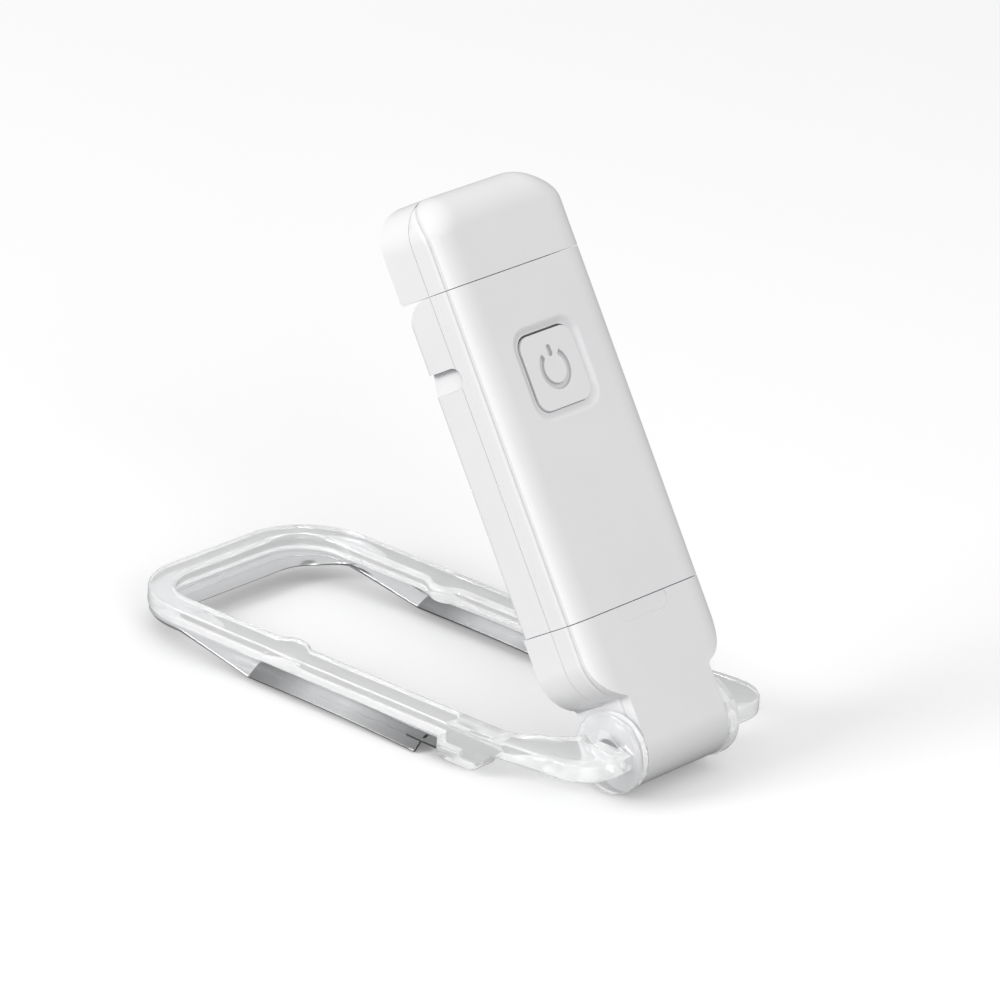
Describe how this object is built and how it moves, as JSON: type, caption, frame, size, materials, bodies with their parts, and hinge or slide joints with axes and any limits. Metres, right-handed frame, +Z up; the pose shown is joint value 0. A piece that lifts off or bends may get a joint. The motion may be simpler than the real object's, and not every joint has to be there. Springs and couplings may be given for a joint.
{
  "type": "clip-on reading lamp",
  "caption": "Slim white reading lamp hinged on a clear clip frame with a sprung steel jaw; the head tilts back and the body pulls off its base to bare a USB plug.",
  "frame": {"origin": "under the middle of the clip frame's length, on the surface that the spring's legs stand on", "axes": "+Y from the fold hinge along the clip frame to its far end, +X across the lamp, +Z up from the level clip frame"},
  "size_m": [0.0394, 0.0878, 0.0734],
  "materials": {
    "white_plastic": "satin gloss moulded white",
    "clear_plastic": "clear polished polycarbonate",
    "spring_steel": "polished spring steel",
    "plated_steel": "nickel plated",
    "soft_rubber": "pale silicone",
    "circuit_board": "green solder mask",
    "white_board": "white solder mask",
    "black_plastic": "moulded package",
    "led_phosphor": "phosphor resin",
    "battery_foil": "laminated foil pouch",
    "lead_insulation": "wire insulation",
    "gold_contact": "gold flashed",
    "lens_plastic": "frosted diffuser"
  },
  "bodies": {
    "clip": {"clip_frame": "clear_plastic", "hinge_pin": "plated_steel"},
    "jaw": {"spring_clip": "spring_steel"},
    "base": {"base_front_shell": "white_plastic", "base_rear_shell": "white_plastic", "plug_pocket_liner": "soft_rubber"},
    "lamp": {"front_cover": "white_plastic", "mid_housing": "white_plastic", "rear_shell": "white_plastic", "button_ring": "soft_rubber", "usb_shell": "plated_steel", "usb_tongue": "white_plastic", "usb_contact_1": "gold_contact", "usb_contact_2": "gold_contact", "usb_contact_3": "gold_contact", "usb_contact_4": "gold_contact", "main_board": "circuit_board", "tact_switch": "black_plastic", "charge_controller": "black_plastic", "power_inductor": "black_plastic", "status_led": "led_phosphor", "battery_cell": "battery_foil", "battery_lead_left": "lead_insulation", "battery_lead_right": "lead_insulation", "tilt_pin": "plated_steel", "friction_washer_left": "plated_steel", "friction_washer_right": "plated_steel"},
    "button": {"power_button": "white_plastic"},
    "head": {"head_front_cover": "white_plastic", "head_mid_housing": "white_plastic", "head_rear_housing": "white_plastic", "led_board": "white_board", "led_1": "led_phosphor", "led_2": "led_phosphor", "led_3": "led_phosphor", "led_reflector": "white_plastic", "head_lens": "lens_plastic"}
  },
  "joints": [
    {"name": "clip_fold", "type": "hinge", "parent": "clip", "child": "base", "pos_m": [0, -0.03823, 0.0063], "axis": [1, 0, 0], "range_deg": [-56, 90]},
    {"name": "plug_pull", "type": "slide", "parent": "base", "child": "lamp", "axis": [0, 0.5219, 0.853], "range_m": [0, 0.014]},
    {"name": "head_tilt", "type": "hinge", "parent": "lamp", "child": "head", "pos_m": [0, -0.00629, 0.05763], "axis": [-1, 0, 0], "range_deg": [0, 90]},
    {"name": "button_press", "type": "slide", "parent": "lamp", "child": "button", "axis": [0, 0.853, -0.5219], "range_m": [0, 0.0004], "stiffness_N_per_m": 1500},
    {"name": "jaw_open", "type": "hinge", "parent": "clip", "child": "jaw", "pos_m": [0, -0.01773, 0.00197], "axis": [-1, 0, 0], "range_deg": [0, 5], "stiffness_Nm_per_rad": 1, "springref_deg": -1.15}
  ]
}
